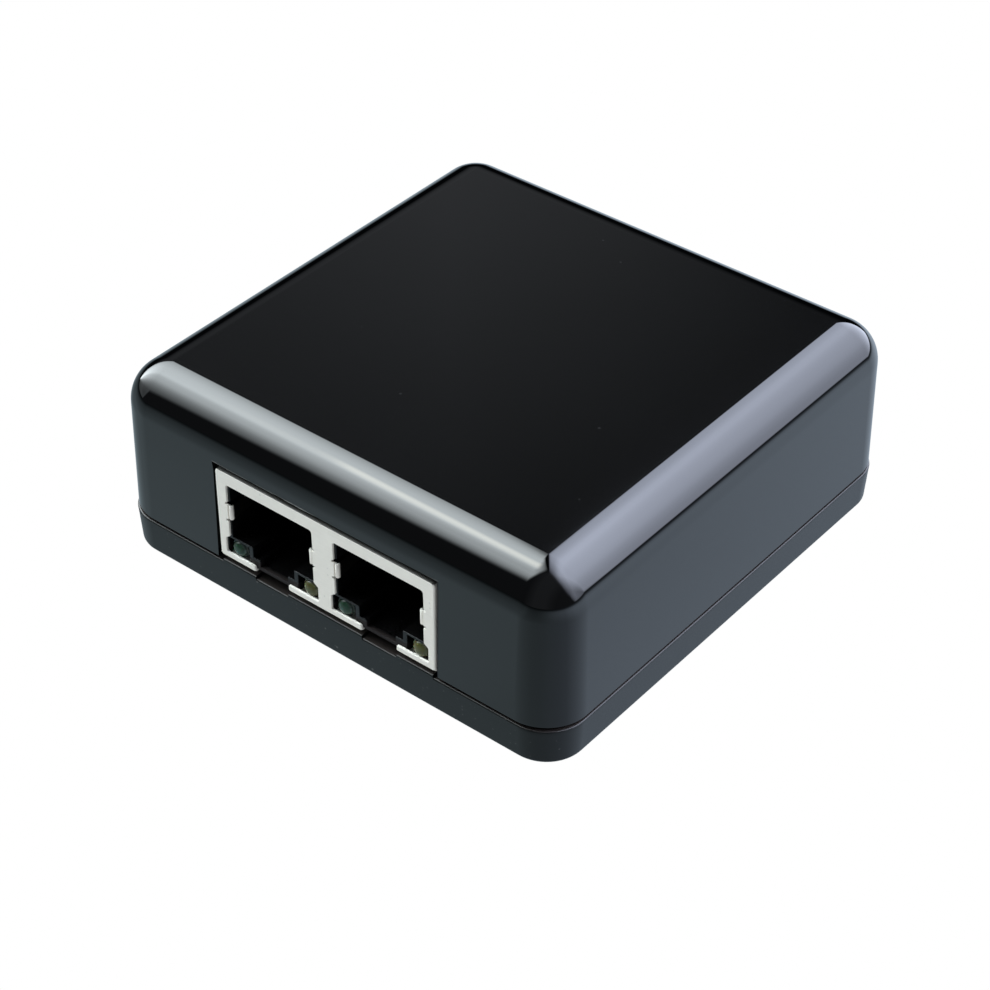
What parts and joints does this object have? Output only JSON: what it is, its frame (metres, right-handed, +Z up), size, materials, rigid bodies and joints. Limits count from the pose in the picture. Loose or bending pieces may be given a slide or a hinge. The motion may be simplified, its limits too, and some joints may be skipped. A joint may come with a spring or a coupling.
{
  "type": "poe injector",
  "caption": "Compact square power-over-Ethernet injector with two shielded modular jacks in its front and a barrel power inlet in its back.",
  "frame": {"origin": "centre of the footprint on the surface that the feet stand on", "axes": "+Z up, -Y towards the side with the two network ports, +Y towards the power inlet, +X to the right when looking at the ports"},
  "size_m": [0.062, 0.062, 0.0245],
  "materials": {
    "case_gloss": "high gloss",
    "case_base": "fine satin",
    "screw_steel": "zinc plated",
    "feet": "matte",
    "label": "satin foil, blank",
    "board": "solder mask",
    "shield_tin": "satin tin plate",
    "jack_plastic": "moulded satin",
    "carrier_plastic": "moulded satin",
    "gold_contact": "gold plated",
    "led_green": "tinted clear, unlit",
    "led_yellow": "tinted clear, unlit",
    "lead_tin": "tinned",
    "inlet_metal": "nickel plated",
    "package_black": "moulded epoxy",
    "ferrite": "sintered",
    "copper": "enamelled copper wire",
    "can_aluminium": "bright",
    "capacitor_sleeve": "shrink sleeve",
    "bung_rubber": "moulded",
    "roll_paper": "wound foil and paper",
    "fuse_ceramic": "matte",
    "choke_ferrite": "epoxy coated",
    "chip_black": "glazed",
    "chip_tan": "sintered"
  },
  "bodies": {
    "root": {"top_cover": "case_gloss", "base_plate": "case_base", "case_screws": "screw_steel", "rubber_feet": "feet", "rating_label": "label", "circuit_board": "board", "jack_shield": "shield_tin", "jack_shield_back": "shield_tin", "jack_housing": "jack_plastic", "port_1_contact_carrier": "carrier_plastic", "port_2_contact_carrier": "carrier_plastic", "port_1_contact_tails": "gold_contact", "port_2_contact_tails": "gold_contact", "port_1_green_led": "led_green", "port_2_green_led": "led_green", "port_1_yellow_led": "led_yellow", "port_2_yellow_led": "led_yellow", "led_leads": "lead_tin", "dc_jack_housing": "jack_plastic", "dc_jack_center_pin": "inlet_metal", "dc_jack_pin_terminal": "lead_tin", "dc_jack_sleeve_terminal": "lead_tin", "dc_jack_switch_contact": "lead_tin", "lan_transformers": "package_black", "lan_transformer_leads": "lead_tin", "inductor_core": "ferrite", "inductor_winding": "copper", "capacitor_cans": "can_aluminium", "capacitor_sleeves": "capacitor_sleeve", "capacitor_bungs": "bung_rubber", "capacitor_rolls": "roll_paper", "capacitor_leads": "lead_tin", "power_transistor": "package_black", "transistor_tab": "lead_tin", "schottky_diode": "package_black", "surge_diode": "package_black", "diode_leads": "lead_tin", "input_fuse": "fuse_ceramic", "choke_core": "choke_ferrite", "choke_windings": "copper", "poe_controller": "package_black", "boost_controller": "package_black", "controller_leads": "lead_tin", "chip_resistors": "chip_black", "chip_capacitors": "chip_tan"},
    "port_1_contacts": {"port_1_contact_springs": "gold_contact"},
    "port_1_left_finger": {"port_1_left_ground_finger": "shield_tin"},
    "port_1_right_finger": {"port_1_right_ground_finger": "shield_tin"},
    "port_2_contacts": {"port_2_contact_springs": "gold_contact"},
    "port_2_left_finger": {"port_2_left_ground_finger": "shield_tin"},
    "port_2_right_finger": {"port_2_right_ground_finger": "shield_tin"},
    "dc_jack_leaf": {"dc_jack_sleeve_spring": "inlet_metal"}
  },
  "joints": [
    {"name": "port_1_contact_flex", "type": "hinge", "parent": "root", "child": "port_1_contacts", "pos_m": [-0.00762, -0.0268, 0.01597], "axis": [1, 0, 0], "range_deg": [0, 12]},
    {"name": "port_1_left_finger_flex", "type": "hinge", "parent": "root", "child": "port_1_left_finger", "pos_m": [-0.01344, -0.03062, 0.01285], "axis": [0, 0, 1], "range_deg": [0, 4]},
    {"name": "port_1_right_finger_flex", "type": "hinge", "parent": "root", "child": "port_1_right_finger", "pos_m": [-0.0018, -0.03062, 0.01285], "axis": [0, 0, -1], "range_deg": [0, 4]},
    {"name": "port_2_contact_flex", "type": "hinge", "parent": "root", "child": "port_2_contacts", "pos_m": [0.00762, -0.0268, 0.01597], "axis": [1, 0, 0], "range_deg": [0, 12]},
    {"name": "port_2_left_finger_flex", "type": "hinge", "parent": "root", "child": "port_2_left_finger", "pos_m": [0.0018, -0.03062, 0.01285], "axis": [0, 0, 1], "range_deg": [0, 4]},
    {"name": "port_2_right_finger_flex", "type": "hinge", "parent": "root", "child": "port_2_right_finger", "pos_m": [0.01344, -0.03062, 0.01285], "axis": [0, 0, -1], "range_deg": [0, 4]},
    {"name": "dc_jack_sleeve_flex", "type": "hinge", "parent": "root", "child": "dc_jack_leaf", "pos_m": [0, 0.0206, 0.0094], "axis": [-1, 0, 0], "range_deg": [0, 5]}
  ],
  "couplings": [
    {"joint": "port_1_left_finger_flex", "follows": "port_1_contact_flex", "ratio": 0.33333},
    {"joint": "port_1_right_finger_flex", "follows": "port_1_contact_flex", "ratio": 0.33333},
    {"joint": "port_2_left_finger_flex", "follows": "port_2_contact_flex", "ratio": 0.33333},
    {"joint": "port_2_right_finger_flex", "follows": "port_2_contact_flex", "ratio": 0.33333}
  ]
}
